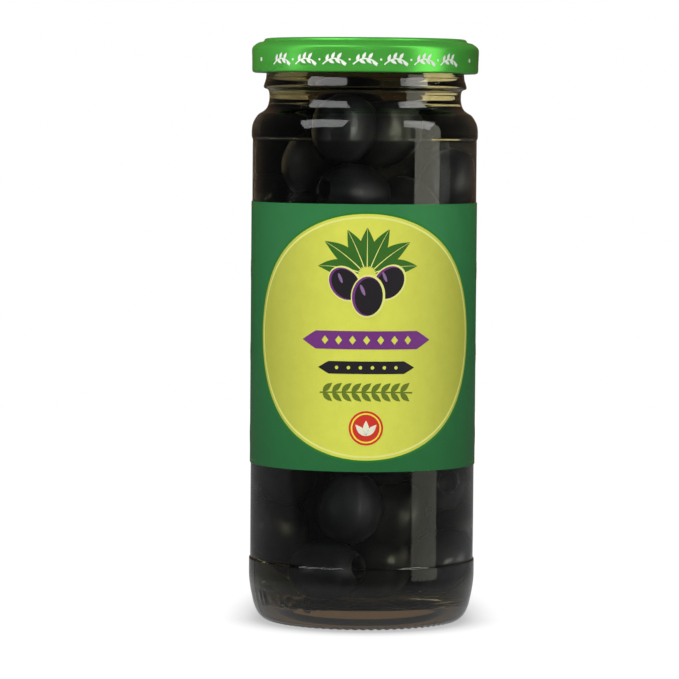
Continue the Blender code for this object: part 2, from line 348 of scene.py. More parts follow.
def linear(code):
    """A colour given as six hex digits, as the linear numbers a shader takes."""
    parts = [int(code[i:i + 2], 16) / 255 for i in (0, 2, 4)]
    return tuple(c / 12.92 if c <= 0.04045 else ((c + 0.055) / 1.055) ** 2.4 for c in parts)


def tinted(colour, factor):
    return tuple(min(1.0, c * factor) for c in colour)


def principled(name, colour, roughness, **values):
    material = bpy.data.materials.new(name)
    material.use_nodes = True
    shader = material.node_tree.nodes["Principled BSDF"]
    shader.inputs["Base Color"].default_value = (*colour, 1.0)
    shader.inputs["Roughness"].default_value = roughness
    for key, value in values.items():
        shader.inputs[key.replace("_", " ")].default_value = value
    return material, shader


def glass_material(name, mirror):
    """Clear glass; mirror is the share of its usual reflection, none on the side that the brine wets."""
    material, shader = principled(
        name, (0.95, 0.98, 0.94), 0.0, IOR=1.5, Transmission_Weight=1.0,
        Specular_Tint=(mirror, mirror, mirror, 1.0))
    space = object_space(material, (1.0, 1.0, 0.35))
    bump(material, shader, noise_of(material, space, 60.0, 1.0), 0.012, 0.0004)
    return material


def brine_material():
    material, shader = principled(
        "olive brine", WHITE, 0.0, IOR=1.34, Transmission_Weight=1.0, Specular_Tint=(0.0, 0.0, 0.0, 1.0))
    volume = add(material, "ShaderNodeVolumeAbsorption")
    volume.inputs["Color"].default_value = (*BRINE_COLOUR, 1.0)
    volume.inputs["Density"].default_value = BRINE_DENSITY
    output = material.node_tree.nodes["Material Output"]
    link(material, volume.outputs["Volume"], output.inputs["Volume"])
    return material


def olive_material():
    """Smooth black skins; wet with brine they mirror little, so they show soft and satin."""
    material, shader = principled("black olive skin", OLIVE_BLACK, 0.35, IOR=1.36)
    space = object_space(material)
    blotch = noise_of(material, space, 110.0, 4.0, 0.6)
    shades = [(0.25, (0.016, 0.017, 0.022)), (0.55, OLIVE_BLACK), (0.85, (0.038, 0.039, 0.049))]
    colour = ramp(material, blotch, shades)
    link(material, colour, shader.inputs["Base Color"])
    link(material, spread(material, blotch, 0.3, 0.4), shader.inputs["Roughness"])
    grain = noise_of(material, space, 160.0, 1.0, 0.5)
    bump(material, shader, grain, 0.1, 0.0003)
    return material


def shade_core_material():
    # Painted shade: a near-black body for the olives in the heap's middle and the shade among them.
    material, shader = principled("heap core in painted shade", CORE_PAINTED_SHADE, 0.8)
    cloud = noise_of(material, object_space(material), 90.0)
    colour = ramp(material, cloud, [(0.3, (0.002, 0.002, 0.0015)), (0.8, (0.006, 0.005, 0.004))])
    link(material, colour, shader.inputs["Base Color"])
    return material


def lacquer_material():
    material, shader = principled(
        "green lacquered metal", LACQUER_GREEN, 0.3, Metallic=0.5, Specular_IOR_Level=0.2)
    cloud = noise_of(material, object_space(material, (1.0, 1.0, 2.0)), 45.0, 3.0)
    colour = ramp(material, cloud, [(0.3, tinted(LACQUER_GREEN, 0.92)), (0.7, tinted(LACQUER_GREEN, 1.06))])
    link(material, colour, shader.inputs["Base Color"])
    link(material, spread(material, cloud, 0.26, 0.36), shader.inputs["Roughness"])
    grain = noise_of(material, object_space(material), 2400.0, 2.0)
    bump(material, shader, grain, 0.06, 0.0001)
    return material


def print_material(name, code, roughness=0.42, painted_shade_at_sides=1.0):
    """Printed film; with a share at its sides under 1 it has painted shade, darkening to that share of its
    brightness towards the jar's sides, away from the front.
    """
    colour = linear(code)
    material, shader = principled(name, colour, roughness, Specular_IOR_Level=0.12)
    space = object_space(material)
    cloud = noise_of(material, space, 260.0, 4.0, 0.6)
    ink = ramp(material, cloud, [(0.3, tinted(colour, 0.965)), (0.7, tinted(colour, 1.03))])
    # Painted shade: the ink turns darker towards the jar's sides, away from the front.
    if painted_shade_at_sides < 1.0:
        aside = maths(material, "ABSOLUTE", split_of(material, space)["X"])
        share = remap(material, aside, 0.004, 0.028, 1.0, painted_shade_at_sides, "SMOOTHSTEP")
        shaded_ink = add(material, "ShaderNodeVectorMath", operation="SCALE")
        link(material, ink, shaded_ink.inputs[0])
        link(material, share, shaded_ink.inputs["Scale"])
        ink = shaded_ink.outputs["Vector"]
    link(material, ink, shader.inputs["Base Color"])
    link(material, spread(material, cloud, roughness - 0.04, roughness + 0.06), shader.inputs["Roughness"])
    fibres = noise_of(material, object_space(material, (1.0, 1.0, 0.6)), 1300.0, 3.0)
    bump(material, shader, fibres, 0.08, 0.0001)
    return material


# Turned shapes.

def curved(points, per=4, straight=12.0):
    """The profile with a smooth bend through its points; long spans stay straight."""
    count = len(points)
    leans = []
    for i in range(count):
        before = points[max(i - 1, 0)]
        after = points[min(i + 1, count - 1)]
        size = math.hypot(after[0] - before[0], after[1] - before[1])
        leans.append(((after[0] - before[0]) / size, (after[1] - before[1]) / size))
    out = []
    for i in range(count - 1):
        (r0, z0), (r1, z1) = points[i], points[i + 1]
        size = math.hypot(r1 - r0, z1 - z0)
        steps = per if size < straight else 1
        for k in range(steps):
            t = k / steps
            a, b = 2 * t ** 3 - 3 * t ** 2 + 1, t ** 3 - 2 * t ** 2 + t
            c, d = 3 * t ** 2 - 2 * t ** 3, t ** 3 - t ** 2
            out.append((
                a * r0 + c * r1 + size * (b * leans[i][0] + d * leans[i + 1][0]),
                a * z0 + c * z1 + size * (b * leans[i][1] + d * leans[i + 1][1]),
            ))
    out.append(points[-1])
    return [(max(r, 0.0), z) for r, z in out]


def join_rings(shape, rings, sides):
    """Smooth faces between rings of corners; a ring of one corner is a point on the axis."""
    for one, two in zip(rings, rings[1:]):
        for k in range(sides):
            n = (k + 1) % sides
            corners = [one[k % len(one)], two[k % len(two)], two[n % len(two)], one[n % len(one)]]
            face = list(dict.fromkeys(corners))
            if len(face) > 2:
                shape.faces.new(face).smooth = True


def turned(name, profile, sides, material, shift=None):
    """A closed turned shape. Its profile runs from the axis out and back to it, down the outer side."""
    shape = bmesh.new()
    rings = []
    for r, z in profile:
        if r < 1e-6:
            rings.append([shape.verts.new((0, 0, z * MM))])
            continue
        ring = []
        for k in range(sides):
            angle = TURN * k / sides
            rr, zz = shift(r, z, angle) if shift else (r, z)
            ring.append(shape.verts.new((rr * math.cos(angle) * MM, rr * math.sin(angle) * MM, zz * MM)))
        rings.append(ring)
    join_rings(shape, rings, sides)
    return finished(name, shape, [material])


def finished(name, shape, materials):
    mesh = bpy.data.meshes.new(name)
    shape.to_mesh(mesh)
    shape.free()
    for material in materials:
        mesh.materials.append(material)
    obj = bpy.data.objects.new(name, mesh)
    bpy.context.scene.collection.objects.link(obj)
    return obj


def marked(r, z, angle):
    """The heel's radius with its raised marks."""
    for degrees, height, wide, tall in HEEL_MARKS:
        away = (angle - math.radians(degrees - 90.0) + math.pi) % TURN - math.pi
        near = (away * r / wide) ** 2 + ((z - height) / tall) ** 2
        if near < 1.0:
            r = r + MARK_RISE * (1.0 - near) ** 0.6
    return r


def seamed(r, angle):
    """The radius with the mould's two seams."""
    away = (angle - math.radians(SEAM_DEGREES - 90.0)) % math.pi
    away = min(away, math.pi - away) * r
    if away < SEAM_HALF_WIDTH:
        r = r + SEAM_RISE * (1.0 - away / SEAM_HALF_WIDTH)
    return r


def moulded(r, z, angle):
    """Slanting ribs on the ring that the jar stands on, raised marks on the heel and the mould's seams."""
    if z < RIB_TOP and RIB_FROM < r < RIB_TO:
        wave = 0.5 + 0.5 * math.cos(RIB_COUNT * angle + TURN * (r - 27.3) / RIB_SLANT)
        fade = min(1.0, (r - RIB_FROM) / 0.5, (RIB_TO - r) / 0.6)
        z = z + RIB_DEPTH * fade * wave
    elif r > INSIDE_RADIUS + 0.5 and MARK_HEIGHTS[0] < z < MARK_HEIGHTS[1]:
        r = marked(r, z, angle)
    if r > 28.0 and any(low < z < high for low, high in SEAM_HEIGHTS):
        r = seamed(r, angle)
    return r, z


def skirt_ripple(r, z, angle):
    """The skirt is drawn in a little over the lugs, with soft hollows between."""
    if r > 31.0 and 158.0 < z < 166.5:
        low = max(0.0, min(1.0, (166.0 - z) / 4.0))
        wave = math.cos(LUG_COUNT * angle + 0.9)
        wave += 0.45 * math.cos(2 * LUG_COUNT * angle + 2.0 + 0.5 * (z - 160.0))
        r = r - SKIRT_RIPPLE * low * (1.0 + wave)
    return r, z


# The heap of olives, laid out by the same rule as the CAD.

def inside_limit(height):
    """How far from the axis, in mm, the heap may reach at this height."""
    for (r0, z0), (r1, z1) in zip(LIMIT_PROFILE, LIMIT_PROFILE[1:]):
        if z0 <= height <= z1:
            return r0 + (r1 - r0) * (height - z0) / (z1 - z0) - GLASS_GAP
    return OUTSIDE_LIMIT


def unit(x, y, z):
    size = math.sqrt(x * x + y * y + z * z)
    return (x / size, y / size, z / size)


def rounded_turn(degrees):
    angle = math.radians(degrees)
    return round(math.cos(angle), 9), round(math.sin(angle), 9)


def reach(axis, along):
    """How far an olive with this long axis reaches along a direction, in mm."""
    lean = axis[0] * along[0] + axis[1] * along[1] + axis[2] * along[2]
    wide = OLIVE_HALF_LENGTH * OLIVE_HALF_LENGTH - OLIVE_HALF_WIDTH * OLIVE_HALF_WIDTH
    return math.sqrt(OLIVE_HALF_WIDTH * OLIVE_HALF_WIDTH + wide * lean * lean)


def settled_olives():
    """The heap as [x, y, z, axis, fixed] in mm: seen olives first, the others pushed apart round them."""
    dice = random.Random(HEAP_SEED)
    olives = []
    for degrees, out, height, (across, outwards, up) in SEEN:
        c, s = rounded_turn(degrees)
        axis = unit(across * c + outwards * s, across * s - outwards * c, up)
        olives.append([out * s, -out * c, height, axis, True])
    while len(olives) < HEAP_COUNT:
        x = round(dice.uniform(-HEAP_SPREAD, HEAP_SPREAD), 3)
        y = round(dice.uniform(-HEAP_SPREAD, HEAP_SPREAD), 3)
        z = round(dice.uniform(*FIRST_HEIGHTS), 3)
        axis = [round(dice.uniform(-1.0, 1.0), 3) for _ in range(3)]
        size = axis[0] * axis[0] + axis[1] * axis[1] + axis[2] * axis[2]
        if x * x + y * y > HEAP_SPREAD * HEAP_SPREAD or size < 0.05 or size > 1.0:
            continue
        olives.append([x, y, z, unit(*axis), False])
    for _ in range(SETTLING_ROUNDS):
        push_apart(olives)
        for olive in olives:
            keep_inside(olive)
    return olives


def push_apart(olives):
    """Moves olives that overlap a step away from each other; fixed ones stay."""
    for i, one in enumerate(olives):
        for other in olives[i + 1:]:
            dx = other[0] - one[0]
            dy = other[1] - one[1]
            dz = other[2] - one[2]
            gap = math.sqrt(dx * dx + dy * dy + dz * dz)
            if gap > 2.0 * OLIVE_HALF_LENGTH or gap < 0.001:
                continue
            along = (dx / gap, dy / gap, dz / gap)
            short = CLOSENESS * (reach(one[3], along) + reach(other[3], along)) - gap
            if short <= 0.0 or (one[4] and other[4]):
                continue
            share = 0.0 if one[4] else (1.0 if other[4] else 0.5)
            for k in range(3):
                one[k] -= PUSH * share * short * along[k]
                other[k] += PUSH * (1.0 - share) * short * along[k]


def keep_inside(olive):
    """Moves an olive inside the glass; those that aren't fixed stay further in where the front shows."""
    out = math.sqrt(olive[0] * olive[0] + olive[1] * olive[1])
    if out > 0.5:
        away = (olive[0] / out, olive[1] / out, 0.0)
        most = inside_limit(olive[2]) - reach(olive[3], away)
        if olive[1] < FRONT_DEPTH and not olive[4] and not BEHIND_LABEL[0] < olive[2] < BEHIND_LABEL[1]:
            most -= FRONT_CLEAR
        if olive[2] > NECK_FOOT and not olive[4]:
            most = min(most, NECK_REACH - reach(olive[3], away))
        if out > most:
            olive[0] *= most / out
            olive[1] *= most / out
    height = reach(olive[3], (0.0, 0.0, 1.0))
    olive[2] = min(max(olive[2], HEAP_FLOOR + height), HEAP_TOP - height)


def olive_profile(length, width, pit):
    """(distance from the olive's axis, place along it) from the pit's floor over its lip to the far end."""
    end = length * math.sqrt(1.0 - (pit / width) ** 2)
    points = [(pit * share, end - deep) for share, deep in PIT_WALL]
    first = math.asin(min(1.0, pit * SKIN_FROM / width))
    for k in range(SKIN_RINGS + 1):
        angle = first + (math.pi - first) * k / SKIN_RINGS
        points.append((width * math.sin(angle), length * math.cos(angle)))
    points[-1] = (0.0, -length + 0.5)
    return points


def lumps(number, x, y, z):
    """How far this place of an olive bulges, as a factor of its size."""
    toward = Vector((x, y, z)) / 9.0
    bulge = 1.0 + 0.035 * noise.noise(toward * 1.1 + Vector((number * 3.7, 0, 0)))
    return bulge + 0.008 * noise.noise(toward * 5.0 + Vector((0, number * 2.3, 0)))


def cross_cut(r, z, angle, length):
    """How deep the cross that the pitting pin left dips the far end, in mm."""
    if z < -length * 0.93:
        near = 1.0 - r / 3.4
        return max(0.0, near) * 0.7 * (0.45 + 0.55 * abs(math.cos(2 * angle)) ** 6)
    return 0.0


def olive_rings(number, olive, dice):
    """An uneven olive as rings of points round its long axis, in mm from its centre."""
    length = OLIVE_HALF_LENGTH * dice.uniform(*LENGTHS)
    width = OLIVE_HALF_WIDTH * dice.uniform(*WIDTHS)
    pit = dice.uniform(*PIT_RADII)
    bend = dice.uniform(*BENDS)
    taper = dice.uniform(*TAPERS)
    turn = Vector((0.0, 0.0, 1.0)).rotation_difference(Vector(olive[3])).to_matrix()
    rings = []
    for r, z in olive_profile(length, width, pit):
        ring = []
        for k in range(1 if r == 0.0 else OLIVE_SIDES):
            angle = TURN * k / OLIVE_SIDES
            x, y = r * math.cos(angle), r * math.sin(angle)
            size = lumps(number, x, y, z) * (1.0 + taper * z / length)
            along = z + cross_cut(r, z, angle, length)
            ring.append(turn @ Vector((x * size + bend * (z / length) ** 2, y * size, along)))
        rings.append(ring)
    return rings


def centre_inside(rings, centre):
    """The olive's centre, moved towards the jar's axis until all its points are inside the glass."""
    for _ in range(5):
        worst, push = 0.0, None
        for ring in rings:
            for point in ring:
                x, y = point.x + centre.x, point.y + centre.y
                out = math.sqrt(x * x + y * y)
                over = out - inside_limit(point.z + centre.z)
                if over > worst:
                    worst, push = over, Vector((x / out, y / out, 0.0))
        if push is None:
            break
        centre = centre - push * worst
    return centre


def build_olives(material):
    shape = bmesh.new()
    dice = random.Random(SHAPE_SEED)
    for number, olive in enumerate(settled_olives()):
        rings = olive_rings(number, olive, dice)
        centre = centre_inside(rings, Vector(olive[:3]))
        corners = [[shape.verts.new((point + centre) * MM) for point in ring] for ring in rings]
        join_rings(shape, corners, OLIVE_SIDES)
    return finished("loose_olives", shape, [material])


# The print on the label and the lid.

class Print:
    """Flat shapes wrapped round the jar: u runs right from the front in mm of arc, v is the height in mm."""

    def __init__(self, radius):
        self.radius = radius
        self.shapes = {}

    def patch(self, ink, layer, place, across, along):
        """A grid of faces in one ink, whose corners are at place(0 to 1 across, 0 to 1 along)."""
        shape = self.shapes.setdefault(ink, bmesh.new())
        radius = self.radius + INK_STEP * layer
        grid = []
        for i in range(along + 1):
            row = []
            for j in range(across + 1):
                u, v = place(j / across, i / along)
                angle = u / self.radius
                corner = (radius * math.sin(angle) * MM, -radius * math.cos(angle) * MM, v * MM)
                row.append(shape.verts.new(corner))
            grid.append(row)
        for low, high in zip(grid, grid[1:]):
            for j in range(across):
                face = shape.faces.new((low[j], low[j + 1], high[j + 1], high[j]))
                face.smooth = True

    def oval(self, ink, layer, u, v, wide, tall, lean=0.0, hole=0.0, rings=6, sides=72):
        """An oval, or with a hole a band between the hole's share of it and its edge."""
        c, s = math.cos(lean), math.sin(lean)

        def place(a, b):
            angle = TURN * a
            share = hole + (1.0 - hole) * b
            x, y = share * wide * math.sin(angle), -share * tall * math.cos(angle)
            return u + x * c - y * s, v + x * s + y * c
        self.patch(ink, layer, place, sides, rings)

    def bar(self, ink, layer, u0, u1, v0, v1, ends=0.0):
        """A level bar with rounded corners."""
        high = (v1 - v0) / 2
        bend = min(ends, high)
        steps = max(8, int((u1 - u0) / 0.4))

        def place(a, b):
            u = u0 + (u1 - u0) * a
            inset = min(u - u0, u1 - u)
            room = high
            if inset < bend:
                room = high - bend + math.sqrt(max(0.0, bend * bend - (bend - inset) ** 2))
            return u, (v0 + v1) / 2 + room * (2 * b - 1)
        self.patch(ink, layer, place, steps, 2)

    def stroke(self, ink, layer, line, half, steps=24):
        """A stroke along line(t) with half width half(t)."""
        def place(a, b):
            u, v = line(b)
            u0, v0 = line(b - 0.01)
            u1, v1 = line(b + 0.01)
            size = math.hypot(u1 - u0, v1 - v0)
            out = half(b) * (2 * a - 1)
            return u + (v1 - v0) / size * out, v - (u1 - u0) / size * out
        self.patch(ink, layer, place, 4, steps)

    def pointed(self, ink, layer, u, length, v, half, steps):
        """A level band with pointed ends."""
        self.stroke(ink, layer, lambda t: (u + length * t, v),
                    lambda t: half * min(1.0, 9 * t + 0.02, 9 * (1 - t) + 0.02), steps)

    def ribbon(self, ink, layer, points, width, steps=24):
        """A stroke along a bend from the first point to the last, drawn towards the middle one."""
        (u0, v0), (u1, v1), (u2, v2) = points

        def line(t):
            s = 1 - t
            return s * s * u0 + 2 * t * s * u1 + t * t * u2, s * s * v0 + 2 * t * s * v1 + t * t * v2
        self.stroke(ink, layer, line, width, steps)

    def leaf(self, ink, vein, layer, u, v, length, width, lean, curve=0.0):
        """A slender leaf from (u, v), with a vein in its own ink if one is named."""
        du, dv = math.cos(lean) * length, math.sin(lean) * length
        mid = (u + du / 2 - dv * curve, v + dv / 2 + du * curve)
        line = ((u, v), mid, (u + du, v + dv))
        self.ribbon(ink, layer, line, lambda t: width * math.sin(math.pi * min(1.0, t ** 0.85)) + 0.02, 18)
        if vein:
            self.ribbon(vein, layer + 1, line, lambda t: 0.13 * (1.0 - t) + 0.03, 12)

    def finish(self, prefix, inks):
        made = []
        for ink, shape in self.shapes.items():
            made.append(finished(f"{prefix}_{ink}", shape, [inks[ink]]))
        return made


def draw_field(sheet):
    """The lime field with a dark outline and a pale rim."""
    sheet.oval("deep_green", 1, DESIGN_U, DESIGN_V, 37.0, 35.6, hole=0.96, rings=2, sides=160)
    sheet.oval("lime", 2, DESIGN_U, DESIGN_V, 36.2, 35.0, rings=14, sides=160)
    sheet.oval("pale_lime", 3, DESIGN_U, DESIGN_V, 35.5, 34.3, hole=0.984, rings=1, sides=160)


def draw_bunch(sheet):
    """A bunch of olives under a fan of leaves."""
    for degrees, length in FAN_LEAVES:
        lean = math.radians(degrees)
        u = DESIGN_U + 2.0 * math.cos(lean)
        v = FAN_HEIGHT + 1.5 * math.sin(lean)
        sheet.leaf("leaf", "pale_lime", 4, u, v, length, 2.3, lean, 0.1 * math.cos(lean))
    for layer, u, v, lean, size in BUNCH:
        sheet.oval("pale_lime", layer, u, v, 4.4 * size, 5.6 * size, lean=lean)
        sheet.oval("purple", layer + 1, u - 0.2, v, 3.95 * size, 5.1 * size, lean=lean)
        sheet.oval("ink", layer + 2, u + 0.2, v - 0.1, 3.6 * size, 4.8 * size, lean=lean)
        sheet.oval("plum_light", layer + 3, u - 1.4 * size, v + 1.6 * size, 0.42 * size, 1.5 * size,
                   lean=0.4, sides=24)


def draw_bands(sheet):
    """A purple band, a dark band and a row of leaves."""
    sheet.pointed("purple", 4, -18.0, 38.0, PURPLE_BAND_V, 2.6, 72)
    for k in range(7):
        sheet.oval("lime", 5, DESIGN_U + 4.0 * (k - 3), PURPLE_BAND_V, 1.0, 1.25, sides=4, rings=2)
    sheet.pointed("ink", 4, -13.0, 28.0, DARK_BAND_V, 1.8, 60)
    for k in range(6):
        sheet.oval("lime", 5, DESIGN_U + 3.4 * (k - 2.5), DARK_BAND_V, 0.5, 0.5, sides=24, rings=2)
    stalk = ((-12.5, LEAF_ROW_V - 0.2), (DESIGN_U, LEAF_ROW_V + 0.3), (14.5, LEAF_ROW_V - 0.2))
    sheet.ribbon("olive_green", 4, stalk, lambda t: 0.22, 30)
    for k in range(9):
        for side in (-1, 1):
            u = -11.5 + 2.8 * k
            sheet.leaf("olive_green", None, 4, u, LEAF_ROW_V, 3.8, 0.8, 0.75 * side, 0.08 * side)


def draw_roundel(sheet):
    """A small red roundel with three leaves."""
    sheet.oval("red", 4, DESIGN_U, ROUNDEL_V, 4.9, 4.9, sides=60)
    sheet.oval("yellow", 5, DESIGN_U, ROUNDEL_V, 4.3, 4.3, hole=0.9, rings=1, sides=60)
    for k in range(3):
        sheet.leaf("cream", None, 6, DESIGN_U, ROUNDEL_V - 2.2, 4.4, 0.85, math.pi / 2 + 0.75 * (k - 1))


def draw_edge_lines(sheet):
    """Thin lines near both edges, round the back from one side of the lime field to the other."""
    for v in (LABEL_HEAD - 1.3, LABEL_FOOT + 1.1):
        sheet.bar("olive_green", 0.6, 40.5, 2 * BACK_U - 40.5, v - 0.12, v + 0.12)


def draw_back(sheet):
    """A cream panel with a plain ruled table, and a thin dark line of painted shadow where the label's ends
    overlap.
    """
    sheet.bar("cream", 1, BACK_U - 21.0, BACK_U + 21.0, DESIGN_V - 24.0, DESIGN_V + 22.0, ends=3.0)
    for k in range(9):
        v = DESIGN_V + 13.0 - 3.6 * k
        sheet.bar("leaf", 2, BACK_U - 17.0, BACK_U + 17.0, v - 0.1, v + 0.1)
    sheet.bar("leaf", 2, BACK_U - 17.0, BACK_U + 17.0, DESIGN_V + 15.4, DESIGN_V + 17.4, ends=1.0)
    # Painted shadow: a thin dark line along the edge where the label's ends overlap.
    sheet.bar("deep_green", 0.5, BACK_U + 31.9, BACK_U + 32.1, LABEL_FOOT + 0.05, LABEL_HEAD - 0.05)


def draw_slices(sheet):
    """Rows of olive slices at both sides."""
    for side in (-1, 1):
        for k in range(3):
            u = side * (50.0 + 8.6 * k)
            for row in (-1, 0, 1):
                v = DESIGN_V + row * 24.0 + (k % 2) * 12.0 - 6.0
                sheet.oval("olive_green", 1, u, v, 2.5, 2.9, sides=40)
                sheet.oval("deep_green", 2, u, v, 1.9, 2.3, sides=36)
                sheet.oval("lime", 3, u - 0.1, v + 0.1, 0.75, 0.9, sides=24)


def build_label_print():
    sheet = Print(LABEL_OUTER)
    for draw in (draw_field, draw_bunch, draw_bands, draw_roundel, draw_edge_lines, draw_back, draw_slices):
        draw(sheet)
    inks = {}
    for ink, (name, code) in INKS.items():
        inks[ink] = print_material(name, code, painted_shade_at_sides=LIME_PAINTED_SHADE_AT_SIDES if ink == "lime" else 1.0)
    return sheet.finish("label", inks)


def build_lid_print(material):
    """Two white garlands on the skirt, front and back: slender leaves on bowed stalks, with dots between."""
    band = Print(GARLAND_RADIUS)
    middle = GARLAND_HEIGHT
    for half in (0.0, math.pi * band.radius):
        for side in (-1, 1):
            band.oval("white", 1, half + 37.2 * side, middle, 0.6, 0.6, sides=20)
        for k in range(7):
            u = half + 8.9 * (k - 3)
            stalk = ((u - 3.5, middle - 1.5), (u, middle + 1.8), (u + 3.5, middle - 1.4))
            band.ribbon("white", 1, stalk, lambda t: 0.2, 12)
            for step, lean in GARLAND_LEAVES:
                rise = 0.15 - 0.12 * step * step
                band.leaf("white", None, 1, u + step, middle + rise, 2.1, 0.44, lean, 0.05)
            if k < 6:
                band.oval("white", 1, u + 4.45, middle - 0.1, 0.32, 0.32, sides=16)
    return band.finish("lid", {"white": material})


# The pieces.

def build_glass(dry, wet):
    """The jar; the faces of its inside that the brine covers have a material of their own."""
    inside = curved(GLASS_INSIDE, 2)
    profile = inside + curved(GLASS_RIM, 3) + curved(GLASS_OUTSIDE, 4)
    jar = turned("clear_jar", profile, GLASS_SIDES, dry, moulded)
    jar.data.materials.append(wet)
    wetted = sum(1 for r, z in inside[:-1] if z < BRINE_LEVEL - 1.0) * GLASS_SIDES
    for face in jar.data.polygons[:wetted]:
        face.material_index = 1
    return jar


def build_brine(material):
    """The brine reaches a little way into the glass, and its surface climbs at the edge."""
    wall = [(r + INTO_WALL if r > 20.0 else r, z - (INTO_WALL if z < 9.0 else 0.0))
            for r, z in curved(GLASS_INSIDE, 2)]
    up = [(r, z) for r, z in wall if z < BRINE_LEVEL - 0.4]
    rim = up[-1][0]
    up += [(rim + 0.03, BRINE_LEVEL + 0.5), (rim - 0.6, BRINE_LEVEL + 0.1)]
    up += [(rim - 2.2, BRINE_LEVEL), (0.0, BRINE_LEVEL)]
    return turned("brine", up[::-1], BRINE_SIDES, material)


def build_lid(material):
    profile = curved(LID_OUTSIDE, 3) + curved(LID_INSIDE, 2)
    return turned("twist_lid", profile, LID_SIDES, material, skirt_ripple)


def build_label(material):
    section = [
        (LABEL_INNER, LABEL_HEAD), (LABEL_OUTER - 0.03, LABEL_HEAD), (LABEL_OUTER, LABEL_HEAD - 0.04),
        (LABEL_OUTER, LABEL_FOOT + 0.04), (LABEL_OUTER - 0.03, LABEL_FOOT), (LABEL_INNER, LABEL_FOOT),
    ]
    shape = bmesh.new()
    rows = []
    for r, z in section:
        row = []
        for k in range(LABEL_SIDES):
            angle = TURN * k / LABEL_SIDES
            row.append(shape.verts.new((r * math.cos(angle) * MM, r * math.sin(angle) * MM, z * MM)))
        rows.append(row)
    join_rings(shape, rows + rows[:1], LABEL_SIDES)
    bmesh.ops.recalc_face_normals(shape, faces=shape.faces)
    label = finished("wrap_label", shape, [material])
    label.data.set_sharp_from_angle(angle=math.radians(40))
    return label


# The floor, the lamps, the world and the camera.

def far_from(material, space, stops):
    """A grey that follows the distance from the jar's axis, drawn out behind it."""
    parts = split_of(material, space)
    depth = maths(material, "MULTIPLY", parts["Y"], (1.0 + BEHIND_SHARE) / 2)
    size = maths(material, "ABSOLUTE", parts["Y"])
    folded = maths(material, "MULTIPLY_ADD", size, (BEHIND_SHARE - 1.0) / 2, depth)
    place = add(material, "ShaderNodeCombineXYZ")
    link(material, parts["X"], place.inputs["X"])
    link(material, folded, place.inputs["Y"])
    far = add(material, "ShaderNodeVectorMath", operation="LENGTH")
    link(material, place.outputs["Vector"], far.inputs[0])
    share = maths(material, "DIVIDE", far.outputs["Value"], RAMP_REACH)
    return ramp(material, share, [(at, (value, value, value)) for at, value in stops])


def floor_material():
    """Matt, and so lit from within that it comes out white, with a painted shadow a little darker round the
    jar.
    """
    material, shader = principled("white floor", (0.09, 0.09, 0.09), 0.9, Specular_IOR_Level=0.0)
    space = object_space(material)
    path = add(material, "ShaderNodeLightPath").outputs
    # Painted shadow: the glow that the camera sees is darker near the jar, drawn out behind it.
    seen = maths(material, "MULTIPLY", path["Is Camera Ray"], far_from(material, space, FLOOR_SEEN_PAINTED_SHADOW))
    in_front = remap(material, split_of(material, space)["Y"], -0.13, -0.08, 0.03, 0.15)
    close = maths(material, "ADD", in_front, far_from(material, space, FLOOR_MIRRORED))
    glossy = maths(material, "SUBTRACT", path["Is Reflection Ray"], path["Is Diffuse Ray"])
    glow = maths(material, "ADD", seen, maths(material, "MULTIPLY", glossy, close))
    shader.inputs["Emission Color"].default_value = (*WHITE, 1.0)
    link(material, glow, shader.inputs["Emission Strength"])
    return material


def build_stage():
    shape = bmesh.new()
    corners = []
    for k in range(FLOOR_SIDES):
        angle = TURN * k / FLOOR_SIDES
        corner = (FLOOR_RADIUS * math.cos(angle), FLOOR_RADIUS * math.sin(angle), -FLOOR_DROP)
        corners.append(shape.verts.new(corner))
    shape.faces.new(corners)
    finished("floor", shape, [floor_material()])


def light_contents(data):
    """The lamp lights what the glass holds, and doesn't show where one looks straight through the glass."""
    data.use_nodes = True
    path = add(data, "ShaderNodeLightPath").outputs
    met = maths(data, "ADD", path["Diffuse Depth"], path["Glossy Depth"])
    link(data, maths(data, "MINIMUM", met, 1.0), data.node_tree.nodes["Emission"].inputs["Strength"])


def area_light(name, place, along, wide, tall, bright, mirrored=True, through=True, diffuse=True,
               upright=False, colour=WHITE, only=None, contents=False):
    """A panel of even brightness that faces the jar, with its width along the given direction.

    One that isn't mirrored leaves no reflection of itself; one that isn't through lights nothing behind
    glass; one that isn't diffuse lights no matt surface. With only, the light falls on those pieces alone,
    and with contents on what those pieces hold.
    """
    data = bpy.data.lights.new(name, "AREA")
    data.shape = "RECTANGLE"
    data.size = wide
    data.size_y = tall
    data.energy = bright * math.pi * wide * tall
    data.color = colour
    if contents:
        light_contents(data)
    back = (Vector(place) - Vector((0.0, 0.0, place[2] if upright else AIM_HEIGHT))).normalized()
    side = Vector(along)
    side = (side - back * side.dot(back)).normalized()
    light = bpy.data.objects.new(name, data)
    light.location = place
    light.rotation_mode = "QUATERNION"
    light.rotation_quaternion = Matrix((side, back.cross(side), back)).transposed().to_quaternion()
    light.visible_camera = False
    light.visible_glossy = mirrored
    light.visible_transmission = through
    light.visible_diffuse = diffuse
    bpy.context.scene.collection.objects.link(light)
    if only:
        lit = bpy.data.collections.new(name)
        for piece in only:
            lit.objects.link(piece)
        light.light_linking.receiver_collection = lit


